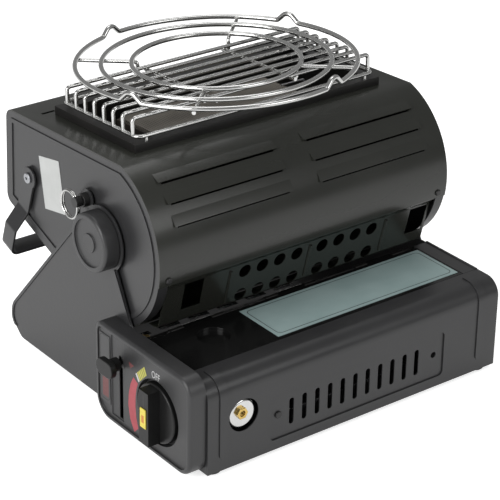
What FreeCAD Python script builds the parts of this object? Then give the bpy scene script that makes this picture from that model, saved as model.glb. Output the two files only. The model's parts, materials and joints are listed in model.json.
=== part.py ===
# Portable two-in-one gas heater and cooker: a base box that takes a gas cartridge, two leg
# plates, and a burner drum that tilts between them from cooking (window up) to heating.
# Millimetres, +Z up, +X to the right along the front, the front panel faces -Y.
import FreeCAD, Part
import Sketcher
import math
import os

Vector = FreeCAD.Vector
Rotation = FreeCAD.Rotation
Placement = FreeCAD.Placement

doc = FreeCAD.newDocument("heater")
sheet = doc.addObject("Spreadsheet::Sheet", "Sizes")

# Driving dimensions. Positions marked "from pivot" are in the drum's own frame.
SIZES = [
    ("sheet_metal", 1.0),
    ("plate_metal", 1.2),
    ("fit_gap", 0.3),
    ("running_fit", 0.05),
    ("base_half_width", 143.5),
    ("base_height", 75.5),
    ("bay_depth", 86.0),
    ("panel_edge_radius", 14.0),
    ("top_strip_depth", 26.0),
    ("leg_length", 274.0),
    ("leg_back_rise", 27.0),
    ("leg_corner_radius", 14.0),
    ("leg_front_place", 93.7),
    ("leg_neck_place", 117.1),
    ("leg_neck_height", 121.5),
    ("leg_top_radius", 26.5),
    ("leg_bead_width", 6.0),
    ("leg_bead_height", 1.2),
    ("leg_rim_width", 2.4),
    ("leg_rim_height", 0.8),
    ("foot_height", 4.0),
    ("foot_radius", 8.0),
    ("foot_inset", 11.0),
    ("rear_foot_place", 223.0),
    ("rear_wall_height", 26.0),
    ("slot_count", 11),
    ("slot_pitch", 12.45),
    ("slot_width", 4.5),
    ("slot_length", 22.5),
    ("slot_height", 28.0),
    ("recess_width", 173.0),
    ("recess_height", 39.0),
    ("recess_depth", 1.2),
    ("panel_screw_inset", 8.0),
    ("panel_hole_inset", 10.0),
    ("rib_width", 8.0),
    ("rib_height", 1.0),
    ("rib_place", 126.0),
    ("rib_foot", 14.0),
    ("port_radius", 13.5),
    ("port_place", 110.5),
    ("port_height", 41.0),
    ("lid_right_inset", 15.5),
    ("lid_left_inset", 4.5),
    ("hinge_radius", 2.6),
    ("hinge_pin_radius", 1.4),
    ("dimple_radius", 13.0),
    ("dimple_place", 94.5),
    ("label_length", 182.0),
    ("label_width", 49.0),
    ("label_thickness", 0.4),
    ("fascia_thickness", 15.0),
    ("fascia_length", 124.0),
    ("fascia_height", 82.0),
    ("fascia_wall", 2.0),
    ("fascia_corner", 9.0),
    ("fascia_front_corner", 14.0),
    ("fascia_low_corner", 18.0),
    ("fascia_edge_radius", 3.0),
    ("dial_place", 45.0),
    ("dial_height", 37.0),
    ("dial_radius", 24.0),
    ("dial_thickness", 5.5),
    ("dial_well_depth", 6.0),
    ("grip_height", 10.5),
    ("grip_width", 12.0),
    ("pointer_length", 16.0),
    ("pointer_width", 7.0),
    ("spindle_radius", 3.5),
    ("lever_place", 94.0),
    ("lever_height", 57.0),
    ("lever_radius", 6.8),
    ("lever_spread", 8.0),
    ("lever_length", 13.0),
    ("lever_travel", 44.0),
    ("lever_slot_width", 4.4),
    ("strip_width", 14.0),
    ("regulator_radius", 18.0),
    ("regulator_length", 38.0),
    ("cartridge_radius", 34.0),
    ("cartridge_place", 46.0),
    ("pipe_radius", 3.0),
    ("piezo_radius", 8.0),
    ("piezo_length", 36.0),
    ("pivot_place", 135.0),
    ("pivot_height", 140.8),
    ("drum_lean", 3.2),
    ("drum_radius", 70.5),
    ("drum_top", 66.0),
    ("drum_back_top", 137.0),
    ("drum_back_low", 145.0),
    ("drum_back_drop", 14.0),
    ("drum_back_corner", 9.0),
    ("drum_side_gap", 3.0),
    ("cap_lip", 9.0),
    ("bead_inset", 6.5),
    ("bead_width", 3.5),
    ("bead_height", 0.9),
    ("shell_metal", 0.8),
    ("shell_start", 195.0),
    ("louver_length", 110.0),
    ("louver_place", 68.0),
    ("louver_rise", 1.6),
    ("louver_step", 14.0),
    ("louver_first", 127.5),
    ("apron_middle", 8.0),
    ("apron_window_near", 102.0),
    ("apron_window_far", 120.0),
    ("apron_hole_radius", 5.5),
    ("apron_hole_pitch", 16.8),
    ("apron_first_hole", 12.5),
    ("tray_half_width", 118.5),
    ("tray_front", -11.5),
    ("tray_back", 99.5),
    ("tray_flange", 8.5),
    ("tray_height", 6.5),
    ("tray_depth", 20.0),
    ("burner_place", 44.0),
    ("tile_half_width", 72.0),
    ("tile_thickness", 12.0),
    ("tile_depth", 70.0),
    ("burner_depth", 18.0),
    ("mixer_radius", 9.0),
    ("shaft_radius", 7.0),
    ("hub_radius", 23.5),
    ("hub_height", 13.0),
    ("hub_recess", 1.6),
    ("guard_half_width", 114.0),
    ("guard_top", 90.0),
    ("guard_foot", 76.5),
    ("guard_first", -2.7),
    ("guard_pitch", 12.84),
    ("guard_count", 8),
    ("guard_wire", 1.6),
    ("guard_bend", 6.0),
    ("guard_cross_place", 38.0),
    ("ring_outer", 111.5),
    ("ring_middle", 91.0),
    ("ring_inner", 67.0),
    ("ring_wire", 2.0),
    ("spoke_wire", 1.6),
    ("hump_rise", 6.5),
    ("trivet_place", 48.7),
    ("trivet_middle", 1.5),
    ("spoke_leg", 9.0),
    ("bail_pivot_place", 104.0),
    ("bail_pivot_height", 17.0),
    ("bail_length", 75.5),
    ("bail_angle", 22.0),
    ("bail_width", 15.0),
    ("bail_metal", 2.0),
    ("bail_step", 9.0),
    ("bail_step_place", 40.0),
    ("rivet_radius", 3.0),
    ("latch_place", 20.0),
    ("latch_height", 26.0),
    ("latch_pin_radius", 2.5),
    ("latch_bush_radius", 5.5),
    ("pull_ring_radius", 11.0),
    ("pull_ring_wire", 0.9),
]
for row, (alias, number) in enumerate(SIZES, start=1):
    sheet.set("A%d" % row, alias.replace("_", " "))
    sheet.set("B%d" % row, str(number))
    sheet.setAlias("B%d" % row, alias)
doc.recompute()


class Sizes:
    """The sheet's numbers by name."""

    def __getattr__(self, alias):
        return sheet.get(alias)


size = Sizes()
pieces = []


def keep(piece, label, placement=None):
    """Registers one finished sub-part under the name of its file."""
    piece.Label = label
    if placement is not None:
        piece.Placement = placement.multiply(piece.Placement)
    pieces.append(piece)
    return piece


def feature(label, shape, placement=None):
    """A sub-part whose shape is worked out directly from the sheet's numbers."""
    piece = doc.addObject("Part::Feature", label)
    piece.Shape = shape
    return keep(piece, label, placement)


def on_sheet(piece, **sizes):
    """Binds an object's properties to the sheet."""
    for name, formula in sizes.items():
        piece.setExpression(name, formula)
    return piece


# Plain shape helpers

def box(x0, x1, y0, y1, z0, z1):
    return Part.makeBox(x1 - x0, y1 - y0, z1 - z0, Vector(x0, y0, z0))


def rod_x(radius, x0, x1, y, z):
    return Part.makeCylinder(radius, x1 - x0, Vector(x0, y, z), Vector(1, 0, 0))


def rod_y(radius, y0, y1, x, z):
    return Part.makeCylinder(radius, y1 - y0, Vector(x, y0, z), Vector(0, 1, 0))


def rod_z(radius, z0, z1, x, y):
    return Part.makeCylinder(radius, z1 - z0, Vector(x, y, z0), Vector(0, 0, 1))


def path_edges(points, closed):
    """Straight edges with tangent arcs at the corners. A point is (vector, radius)."""
    count = len(points)
    starts, ends, arcs = [], [], []
    for i, (corner, radius) in enumerate(points):
        inner = closed or 0 < i < count - 1
        if radius <= 0 or not inner:
            starts.append(corner)
            ends.append(corner)
            arcs.append(None)
            continue
        before = (points[i - 1][0] - corner).normalize()
        after = (points[(i + 1) % count][0] - corner).normalize()
        half = before.getAngle(after) / 2
        reach = radius / math.tan(half)
        middle = (before + after).normalize()
        top = corner + middle * (radius / math.sin(half) - radius)
        starts.append(corner + before * reach)
        ends.append(corner + after * reach)
        arcs.append(Part.Arc(starts[-1], top, ends[-1]).toShape())
    edges = []
    for i in range(count):
        if arcs[i] is not None:
            edges.append(arcs[i])
        if i < count - 1 or closed:
            following = starts[(i + 1) % count]
            if ends[i].distanceToPoint(following) > 1e-6:
                edges.append(Part.LineSegment(ends[i], following).toShape())
    return edges


def outline(points):
    """A face in the YZ plane from (y, z, radius) corners."""
    edges = path_edges([(Vector(0, y, z), r) for y, z, r in points], True)
    return Part.Face(Part.Wire(edges))


def plate(points, x0, x1):
    """A flat plate across X from (y, z, radius) corners."""
    face = outline(points)
    face.translate(Vector(x0, 0, 0))
    return face.extrude(Vector(x1 - x0, 0, 0))


def strip(edges, thickness, x0, x1):
    """Bent sheet: an open run of edges in the YZ plane, thickened to one side."""
    wire = Part.Wire(edges)
    face = wire.makeOffset2D(thickness, 0, True, True)
    face.translate(Vector(x0, 0, 0))
    return face.extrude(Vector(x1 - x0, 0, 0))


def wire_solid(points, radius, closed=False):
    """Round wire along (vector, bend radius) points."""
    path = Part.Wire(path_edges(points, closed))
    first = path.OrderedEdges[0]
    start = first.valueAt(first.FirstParameter)
    along = first.tangentAt(first.FirstParameter)
    if path.OrderedVertexes[0].Point.distanceToPoint(start) > 1e-6:
        start = first.valueAt(first.LastParameter)
        along = first.tangentAt(first.LastParameter) * -1
    ring = Part.Wire(Part.makeCircle(radius, start, along))
    return path.makePipeShell([ring], True, False, 1)


def pan_head(radius, height, base, direction):
    """A screw or rivet head: a low dome with its shank behind."""
    head = Part.makeCylinder(radius, height, base, direction)
    edge = [e for e in head.Edges if abs(e.Length - 2 * math.pi * radius) < 1e-6]
    far = max(edge, key=lambda e: (e.CenterOfMass - base).dot(direction))
    head = head.makeFillet(height * 0.45, [far])
    shank = Part.makeCylinder(radius * 0.5, height * 2.2, base - direction * height * 2.2, direction)
    return head.fuse(shank)


# Shared places

half_width = size.base_half_width
inner_half = half_width - size.plate_metal
lid_left = size.lid_left_inset - half_width
lid_right = half_width - size.lid_right_inset
lid_level = size.base_height
pivot = Vector(0, size.pivot_place, size.pivot_height)
drum_at = Placement(pivot, Rotation(Vector(1, 0, 0), -size.drum_lean))
lean = math.radians(size.drum_lean)


def from_pivot(y, z):
    """Base-frame place of a point given in the leaning drum's frame."""
    return (pivot.y + y * math.cos(lean) + z * math.sin(lean),
            pivot.z - y * math.sin(lean) + z * math.cos(lean))


latch_y, latch_z = from_pivot(size.latch_place, size.latch_height)
hinge_y = size.bay_depth + 1.0
hinge_z = lid_level - size.hinge_radius
recess_left = 1 - size.recess_width / 2
panel_screw = recess_left + size.panel_screw_inset
panel_hole = recess_left + size.recess_width - size.panel_hole_inset
slot_first = -size.slot_pitch * (size.slot_count - 1) / 2 - 2.5
FOOT_FLANGE = 14.0
SIDE_SCREWS = ((15.0, 8.0), (250.0, 17.0))
SCREW_HEAD = 3.0
SHANK = SCREW_HEAD / 2


# Base: side plates, one sheet each from the cartridge bay to the drum's pivot

def side_plate(side):
    top = lid_level - size.sheet_metal
    radius = size.leg_top_radius
    back_y, back_z = size.leg_length - 2, size.leg_back_rise
    # the back edge is a line from the rear corner that just touches the rounded top
    away = math.hypot(back_y - pivot.y, pivot.z - back_z)
    bearing = math.atan2(back_z - pivot.z, back_y - pivot.y)
    touch = bearing + math.acos(radius / away)
    touch_y = pivot.y + radius * math.cos(touch)
    touch_z = pivot.z + radius * math.sin(touch)
    front_y = size.leg_front_place
    start_y, start_z = size.leg_neck_place, size.leg_neck_height
    skin = size.sheet_metal + 0.2
    corners = [(skin, 0, 0), (skin, top, size.panel_edge_radius - size.sheet_metal),
               (front_y, top, 0), (start_y, start_z, 0), (touch_y, touch_z, 0), (back_y, back_z, 18.0),
               (size.leg_length, 12.0, 12.0), (size.leg_length - size.leg_corner_radius, 0, 9.0)]
    x0 = -half_width if side < 0 else inner_half
    x1 = x0 + size.plate_metal
    body = plate(corners, x0, x1)
    body = body.fuse(rod_x(radius, x0, x1, pivot.y, pivot.z))
    if side < 0:
        body = body.fuse(rod_x(size.latch_bush_radius + 3, x0, x1, latch_y, latch_z))
    # pressed bead down the leg's front edge
    bead_x0 = -half_width - size.leg_bead_height if side < 0 else half_width
    bead = plate([(start_y + 1.5, start_z, 0), (start_y + 1.5 + size.leg_bead_width, start_z, 0),
                  (front_y + 1.5 + size.leg_bead_width, top + 3, 0), (front_y + 1.5, top + 3, 0)],
                 bead_x0, bead_x0 + size.leg_bead_height)
    bead_low = size.fascia_height + size.fit_gap
    bead = bead.cut(box(-half_width - 5, half_width + 5, 0, size.leg_length, 0, bead_low))
    bead = bead.cut(rod_x(size.hub_radius + 1.5, -half_width - 5, half_width + 5, pivot.y, pivot.z))
    body = body.fuse(bead)
    # turned rim along the leg's back edge and rear corner
    rim_x0 = -half_width - size.leg_rim_height if side < 0 else half_width
    face = outline(corners)
    ring = face.cut(Part.Face(face.OuterWire.makeOffset2D(-size.leg_rim_width)))
    ring.translate(Vector(rim_x0, 0, 0))
    ring = ring.extrude(Vector(size.leg_rim_height, 0, 0))
    keep_rim = box(-half_width - 5, half_width + 5, pivot.y + size.leg_top_radius, size.leg_length + 5,
                   8, pivot.z)
    body = body.fuse(ring.common(keep_rim))
    # top flange along the bay, bent inwards
    if side > 0:
        flange = box(lid_right + size.fit_gap * 2, inner_half, size.top_strip_depth + size.fit_gap,
                     size.bay_depth, top, lid_level)
        rim = rod_y(1.6, size.top_strip_depth + size.fit_gap, size.bay_depth,
                    half_width - 1.2, lid_level - 0.6)
    else:
        flange = box(-half_width, lid_left - size.fit_gap * 2, size.top_strip_depth + size.fit_gap,
                     size.bay_depth, top, lid_level)
        rim = flange
    body = body.fuse(flange).fuse(rim)
    bore = rod_x(size.shaft_radius + size.running_fit, x0 - 5, x1 + 5, pivot.y, pivot.z)
    body = body.cut(bore)
    # folded foot flange that carries the floor screws
    foot_x0 = x0 if side < 0 else x1 - FOOT_FLANGE
    foot = box(foot_x0, foot_x0 + FOOT_FLANGE, 190.0, 250.0, 0, size.sheet_metal)
    body = body.fuse(foot)
    if side < 0:
        spindle = rod_x(size.spindle_radius + 1.5, x0 - 1, x1 + 1, size.dial_place, size.dial_height)
        low = size.lever_height - size.lever_travel
        slot = box(x0 - 1, x1 + 1, size.lever_place - size.lever_slot_width / 2,
                   size.lever_place + size.lever_slot_width / 2, low - 5, size.lever_height + 5)
        latch = rod_x(size.latch_bush_radius - 1.5 + size.running_fit, x0 - 1, x1 + 1, latch_y, latch_z)
        body = body.cut(spindle).cut(slot).cut(latch)
    else:
        for y, z in SIDE_SCREWS:
            body = body.cut(rod_x(SHANK + size.running_fit, x0 - 1, x1 + 1, y, z))
        for i in range(4):
            z = 18 + 12 * i
            body = body.cut(box(x0 - 1, x1 + 1, 22, 70, z, z + 4.5))
    return body.removeSplitter()


feature("side_plate_left", side_plate(-1))
feature("side_plate_right", side_plate(1))


# Base: front panel with its rounded top edge, vent slots, recess, ribs and regulator port

def front_panel():
    metal = size.sheet_metal
    high = lid_level
    radius = size.panel_edge_radius
    deep = size.top_strip_depth
    skin = plate([(0, 0, 0), (0, high, radius), (deep, high, 0), (deep, high - metal, 0),
                  (metal, high - metal, radius - metal), (metal, 0, 0)], -half_width, half_width)
    lip = box(-inner_half, inner_half, 0, 11, 0, metal)
    body = skin.fuse(lip)
    # shallow pressed recess around the slots
    z0 = size.slot_height - size.recess_height / 2
    z1 = z0 + size.recess_height
    x0 = recess_left
    x1 = x0 + size.recess_width
    depth = size.recess_depth
    backing = rounded_block(x0 - 1, x1 + 1, z0 - 1, z1 + 1, 0.2, depth + metal, 5.0)
    hollow = rounded_block(x0, x1, z0, z1, -1, depth, 4.0)
    body = body.fuse(backing).cut(hollow)
    for i in range(int(size.slot_count)):
        x = slot_first + i * size.slot_pitch
        z = size.slot_height
        body = body.cut(rounded_block(x - size.slot_width / 2, x + size.slot_width / 2,
                                      z - size.slot_length / 2, z + size.slot_length / 2,
                                      -1, depth + metal + 1, size.slot_width * 0.48))
    # embossed ribs that run down from the top edge
    for x in (-size.rib_place - 3, size.rib_place):
        rise = size.rib_height
        low = size.rib_foot
        rib = plate([(-rise, low, 0), (-rise, high + rise, radius + rise), (deep - 6, high + rise, 0),
                     (deep - 6, high - metal / 2, 0), (metal / 2, high - metal / 2, radius - metal / 2),
                     (metal / 2, low, 0)], x - size.rib_width / 2, x + size.rib_width / 2)
        toe = rod_y(size.rib_width / 2, -rise, metal / 2, x, low)
        body = body.fuse(rib).fuse(toe)
    body = body.cut(rod_y(size.port_radius, -5, 5, -size.port_place, size.port_height))
    body = body.cut(rod_y(SHANK + size.running_fit, -5, 8, panel_screw, size.slot_height + 1))
    body = body.cut(rod_y(2.6, -5, 8, panel_hole, size.slot_height + 1))
    return body.removeSplitter()


def rounded_block(x0, x1, z0, z1, y0, y1, radius):
    """A block seen from the front with rounded corners."""
    block = box(x0, x1, y0, y1, z0, z1)
    edges = [e for e in block.Edges if abs(e.Length - (y1 - y0)) < 1e-6
             and abs(e.tangentAt(e.FirstParameter).y) > 0.99]
    return block.makeFillet(radius, edges)


feature("front_panel", front_panel())


# Base: floor pan with its rear wall, heat shield with hinge lugs

def floor_pan():
    metal = size.sheet_metal
    back = size.leg_length - size.leg_corner_radius - 1
    pan = box(-inner_half, inner_half, size.sheet_metal + 0.4, back, metal, metal * 2)
    wall = box(-inner_half, inner_half, back - metal, back, metal, size.rear_wall_height)
    body = pan.fuse(wall)
    for i in range(6):
        x = -75 + 30 * i
        for y in (130.0, 200.0):
            body = body.cut(box(x, x + 20, y, y + 5, 0, metal * 3))
        body = body.cut(box(x, x + 20, back - 3, back + 1, 11, 15))
    for x in (64.0, 88.0):
        body = body.cut(box(x, x + 18, 54, 59, 0, metal * 3))
    return body


def heat_shield():
    metal = size.sheet_metal
    y0 = hinge_y + size.hinge_radius
    wall = box(-inner_half, inner_half, y0, y0 + metal, metal * 2, hinge_z)
    body = wall
    for x0, x1 in hinge_lugs():
        lug = rod_x(size.hinge_radius, x0, x1, hinge_y, hinge_z)
        web = box(x0, x1, hinge_y, y0 + metal, hinge_z - size.hinge_radius, hinge_z)
        body = body.fuse(lug).fuse(web)
    body = body.cut(rod_x(size.hinge_pin_radius + size.running_fit, -inner_half, inner_half, hinge_y, hinge_z))
    body = body.cut(rod_y(size.pipe_radius + size.running_fit, y0 - 1, y0 + metal + 1,
                          PIPE_X, size.dial_height))
    return body.removeSplitter()


KNUCKLES = [(-104.0, -78.0), (-13.0, 13.0), (78.0, 104.0)]
PIPE_X = -122.0


def hinge_lugs():
    """The fixed hinge sleeves beside the lid's own."""
    lugs = []
    for x0, x1 in KNUCKLES:
        lugs.append((x0 - 12.0, x0 - size.fit_gap))
        lugs.append((x1 + size.fit_gap, x1 + 12.0))
    return lugs


feature("floor_pan", floor_pan())
feature("heat_shield", heat_shield())
feature("lid_hinge_pin", rod_x(size.hinge_pin_radius, -118, 118, hinge_y, hinge_z))


# Lid over the cartridge bay

def cartridge_lid():
    metal = size.sheet_metal
    y0 = size.top_strip_depth + size.fit_gap
    x0, x1 = lid_left, lid_right
    body = box(x0, x1, y0, hinge_y - 3.5, lid_level - metal, lid_level)
    body = body.fuse(box(x0, x1, y0, y0 + metal, lid_level - 7, lid_level))
    for k0, k1 in KNUCKLES:
        body = body.fuse(box(k0, k1, hinge_y - 4, hinge_y, lid_level - metal, lid_level))
        body = body.fuse(rod_x(size.hinge_radius, k0, k1, hinge_y, hinge_z))
    bore = rod_x(size.hinge_pin_radius + size.running_fit, x0, x1, hinge_y, hinge_z)
    dimple = rod_z(size.dimple_radius, lid_level - DIMPLE, lid_level + 1, -size.dimple_place, DIMPLE_Y)
    cup = rod_z(size.dimple_radius + 1, lid_level - DIMPLE - metal, lid_level - metal / 2,
                -size.dimple_place, DIMPLE_Y)
    body = body.cut(bore).fuse(cup).cut(dimple)
    return body.removeSplitter()


DIMPLE_Y = 60.0
DIMPLE = 3.0
feature("cartridge_lid", cartridge_lid())

label = doc.addObject("Part::Box", "lid_label")
on_sheet(label, Length="Sizes.label_length", Width="Sizes.label_width", Height="Sizes.label_thickness")
keep(label, "lid_label", Placement(Vector(lid_right - 2 - size.label_length, 30, lid_level), Rotation()))


# Parametric solids of revolution and blocks

def role_plane(body, role):
    return [f for f in body.Origin.OriginFeatures if f.Role == role][0]


def disc_feature(body, name, kind, role, centre, radius, offset, length, flip=False):
    """One round pad or pocket: a constrained circle on an origin plane of its body."""
    sketch = body.newObject("Sketcher::SketchObject", name + "_sketch")
    sketch.AttachmentSupport = (role_plane(body, role), [""])
    sketch.MapMode = "FlatFace"
    sketch.setExpression("AttachmentOffset.Base.z", offset)
    sketch.addGeometry(Part.Circle(Vector(1, 1, 0), Vector(0, 0, 1), 1.0), False)
    sketch.addConstraint(Sketcher.Constraint("Radius", 0, 1.0))
    sketch.addConstraint(Sketcher.Constraint("DistanceX", -1, 1, 0, 3, 1.0))
    sketch.addConstraint(Sketcher.Constraint("DistanceY", -1, 1, 0, 3, 1.0))
    sketch.setExpression("Constraints[0]", radius)
    sketch.setExpression("Constraints[1]", centre[0])
    sketch.setExpression("Constraints[2]", centre[1])
    step = body.newObject("PartDesign::" + kind, name)
    step.Profile = sketch
    step.setExpression("Length", length)
    step.Reversed = flip
    return step


def outer_edges(shape, axis, place):
    """Circular edges of a shape that lie in the plane axis = place."""
    found = []
    for i, edge in enumerate(shape.Edges, start=1):
        flat = abs(edge.BoundBox.Center[axis] - place) < 1e-4 and edge.Curve.TypeId == "Part::GeomCircle"
        if flat:
            found.append((edge.Curve.Radius, "Edge%d" % i))
    return [name for _, name in sorted(found)]


def round_over(body, axis, place, radius):
    """Rounds the widest circular edge of a body in one plane."""
    doc.recompute()
    solid = body.Tip
    rim = outer_edges(solid.Shape, axis, place)[-1]
    fillet = body.newObject("PartDesign::Fillet", body.Name + "_round")
    fillet.Base = (solid, [rim])
    fillet.Radius = radius
    body.Tip = fillet
    doc.recompute()


# Controls on the left end

dial = ("Sizes.dial_place", "Sizes.dial_height")
fascia_face = -(half_width + size.fascia_thickness)
FACE = "Sizes.base_half_width + Sizes.fascia_thickness"


def fascia_corners(inset):
    """Corners of the cover seen from the left, in from its edge."""
    y0, y1 = FASCIA_FRONT + inset, FASCIA_FRONT + size.fascia_length - inset
    high = size.fascia_height - inset
    front = size.fascia_front_corner - inset
    return [(y0, inset, front), (y0, high, front), (y1, high, size.fascia_corner - inset),
            (y1, inset, size.fascia_low_corner - inset)]


def control_fascia():
    """Moulded cover: a hollow box open towards the base, with a framed face and a well for the knob."""
    x0, x1 = fascia_face, -half_width
    wall = size.fascia_wall
    field = x0 + FRAME_DEPTH
    body = plate(fascia_corners(0), x0, x1)
    rim = [e for e in body.Edges if abs(e.BoundBox.XMin - x0) < 1e-6 and e.BoundBox.XLength < 1e-6]
    body = body.makeFillet(size.fascia_edge_radius, rim)
    inside = plate(fascia_corners(wall), field + wall, x1 + 1)
    frame = plate(fascia_corners(FRAME_INSET), x0 - 1, field)
    body = body.cut(inside).cut(frame)
    well = size.dial_radius + WELL_CLEARANCE
    cup_end = field + size.dial_well_depth
    body = body.fuse(rod_x(well + wall, field, cup_end + wall, size.dial_place, size.dial_height))
    body = body.cut(rod_x(well, x0 - 1, cup_end, size.dial_place, size.dial_height))
    low = size.lever_height - size.lever_travel
    groove = box(x0, field + 0.8, size.lever_place - 4.5, size.lever_place + 11.5, 7, size.fascia_height - 6)
    slot = box(x0 - 1, x1 + 1, size.lever_place - size.lever_slot_width / 2,
               size.lever_place + size.lever_slot_width / 2, low - 5, size.lever_height + 5)
    bore = rod_x(size.spindle_radius + 0.4, x0 - 1, x1 + 1, size.dial_place, size.dial_height)
    body = body.cut(groove).cut(slot).cut(bore)
    for y in (FASCIA_FRONT + 14.0, FASCIA_FRONT + size.fascia_length - 10.0):
        body = body.fuse(rod_x(3.5, x0 + wall, x1, y, size.fascia_height - 10.0))
    return body.removeSplitter()


FASCIA_FRONT = 2.0
FRAME_DEPTH = 1.6
FRAME_INSET = 4.0
WELL_CLEARANCE = 2.5
feature("control_fascia", control_fascia())

legend = doc.addObject("Part::Box", "legend_strip")
on_sheet(legend, Length="0.6", Width="Sizes.strip_width", Height="Sizes.fascia_height - 23")
legend_y = FASCIA_FRONT + size.fascia_length - FRAME_INSET - 1 - size.strip_width
keep(legend, "legend_strip", Placement(Vector(fascia_face + FRAME_DEPTH - 0.6, legend_y, 14.0), Rotation()))


def drawn_pad(body, name, edges, offset, length):
    """A pad of a closed outline drawn in the YZ plane."""
    sketch = body.newObject("Sketcher::SketchObject", name + "_sketch")
    sketch.AttachmentSupport = (role_plane(body, "YZ_Plane"), [""])
    sketch.MapMode = "FlatFace"
    sketch.setExpression("AttachmentOffset.Base.z", offset)
    sketch.addGeometry(edges, False)
    pad = body.newObject("PartDesign::Pad", name)
    pad.Profile = sketch
    pad.setExpression("Length", length)


knob = doc.addObject("PartDesign::Body", "control_knob")
disc_feature(knob, "dial", "Pad", "YZ_Plane", dial, "Sizes.dial_radius",
             "-(" + FACE + ") - 0.5", "Sizes.dial_thickness")
disc_feature(knob, "spindle", "Pad", "YZ_Plane", dial, "Sizes.spindle_radius",
             "-(" + FACE + ")", "Sizes.fascia_thickness + 5.5")
doc.recompute()
knob_disc = fascia_face - 0.5
round_over(knob, 0, knob_disc, 1.5)
reach = size.dial_radius - 1.5
wide = size.grip_width / 2
grip_points = [Vector(size.dial_place + y, size.dial_height + z, 0)
               for y, z in ((-wide, -reach), (wide, -reach), (wide, reach), (-wide, reach))]
drawn_pad(knob, "grip", [Part.LineSegment(grip_points[i], grip_points[(i + 1) % 4]) for i in range(4)],
          "-(" + FACE + ") - 0.5 - Sizes.grip_height", "Sizes.grip_height + 0.2")
keep(knob, "control_knob")

pointer = doc.addObject("Part::Box", "knob_pointer")
on_sheet(pointer, Length="0.8", Width="Sizes.pointer_width", Height="Sizes.pointer_length")
keep(pointer, "knob_pointer", Placement(Vector(
    knob_disc - size.grip_height - 0.8, size.dial_place - size.pointer_width / 2,
    size.dial_height - size.pointer_length / 2), Rotation()))


def stadium(y, z, radius, spread):
    """Outline of an oval with flat top and bottom, for a sketch in the YZ plane."""
    up, out = Vector(0, 0, 1), spread / 2
    ends = [Part.ArcOfCircle(Part.Circle(Vector(y + out, z, 0), up, radius), -math.pi / 2, math.pi / 2),
            Part.ArcOfCircle(Part.Circle(Vector(y - out, z, 0), up, radius), math.pi / 2, math.pi * 1.5)]
    return [ends[0], Part.LineSegment(Vector(y + out, z + radius, 0), Vector(y - out, z + radius, 0)),
            ends[1], Part.LineSegment(Vector(y - out, z - radius, 0), Vector(y + out, z - radius, 0))]


lever = doc.addObject("PartDesign::Body", "lock_lever")
lever_centre = ("Sizes.lever_place", "Sizes.lever_height")
drawn_pad(lever, "button", stadium(size.lever_place, size.lever_height, size.lever_radius, size.lever_spread),
          "-(" + FACE + ") - 0.4 - Sizes.lever_length", "Sizes.lever_length * 0.4")
disc_feature(lever, "neck", "Pad", "YZ_Plane", lever_centre, "Sizes.lever_radius * 0.8",
             "-(" + FACE + ") - 0.4 - Sizes.lever_length * 0.6 - 0.1", "Sizes.lever_length * 0.6 + 0.1")
disc_feature(lever, "stem", "Pad", "YZ_Plane", lever_centre, "Sizes.lever_slot_width / 2 - 0.2",
             "-(" + FACE + ") - 0.5", "Sizes.fascia_thickness + 6")
disc_feature(lever, "keeper", "Pad", "YZ_Plane", lever_centre, "6",
             "-(" + FACE + ") + Sizes.fascia_wall + " + str(FRAME_DEPTH + 0.1), "1.6")
keep(lever, "lock_lever")

regulator = doc.addObject("PartDesign::Body", "regulator_body")
disc_feature(regulator, "casting", "Pad", "YZ_Plane", dial, "Sizes.regulator_radius",
             "-Sizes.base_half_width + Sizes.plate_metal", "Sizes.regulator_length")
disc_feature(regulator, "collar", "Pad", "YZ_Plane", dial, "Sizes.regulator_radius - 2.5",
             "-Sizes.base_half_width + Sizes.plate_metal + Sizes.regulator_length - 0.1", "10")
disc_feature(regulator, "seat", "Pocket", "YZ_Plane", dial, "Sizes.regulator_radius - 6",
             "-Sizes.base_half_width + Sizes.plate_metal + Sizes.regulator_length + 10", "9")
disc_feature(regulator, "side_boss", "Pad", "XZ_Plane", ("-Sizes.port_place", "Sizes.port_height"),
             "Sizes.port_radius - 1.5", "-Sizes.dial_place", "Sizes.dial_place - 14")
disc_feature(regulator, "spindle_bore", "Pocket", "YZ_Plane", dial, "Sizes.spindle_radius + Sizes.running_fit",
             "-Sizes.base_half_width + Sizes.plate_metal + 6", "7")
keep(regulator, "regulator_body")



def regulator_cap():
    """Chrome cap over the regulator's side boss, rounded towards the port."""
    cap = rod_y(size.port_radius - 1, CAP_FACE, 14.0, -size.port_place, size.port_height)
    front = [e for e in cap.Edges if e.BoundBox.YMax < CAP_FACE + 1e-3]
    return cap.makeFillet(3.0, front)


CAP_FACE = 1.8
nut_x, nut_z = -size.port_place - 2, size.port_height + 2.2
feature("regulator_cap", regulator_cap())


def hexagon(flat, depth, base, direction):
    """A hexagonal prism across flats, for nuts and unions."""
    ring = Part.makeCylinder(flat / math.sqrt(3), depth, base, direction)
    side = Vector(0, 0, 1) if abs(direction.z) < 0.5 else Vector(1, 0, 0)
    body = ring
    for i in range(6):
        turn = Rotation(direction, 60 * i)
        out = turn.multVec(side)
        slab = Part.makeBox(flat, flat * 2, depth * 3, Vector(flat / 2, -flat, -depth))
        place = Placement(base, Rotation(out, direction.cross(out) * -1, direction, "XZY"))
        slab.Placement = place
        body = body.cut(slab)
    return body


nut = hexagon(8.6, 3.0, Vector(nut_x, CAP_FACE, nut_z), Vector(0, -1, 0))
feature("regulator_nut", nut.cut(rod_y(2.4, -5, CAP_FACE, nut_x, nut_z)))


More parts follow.
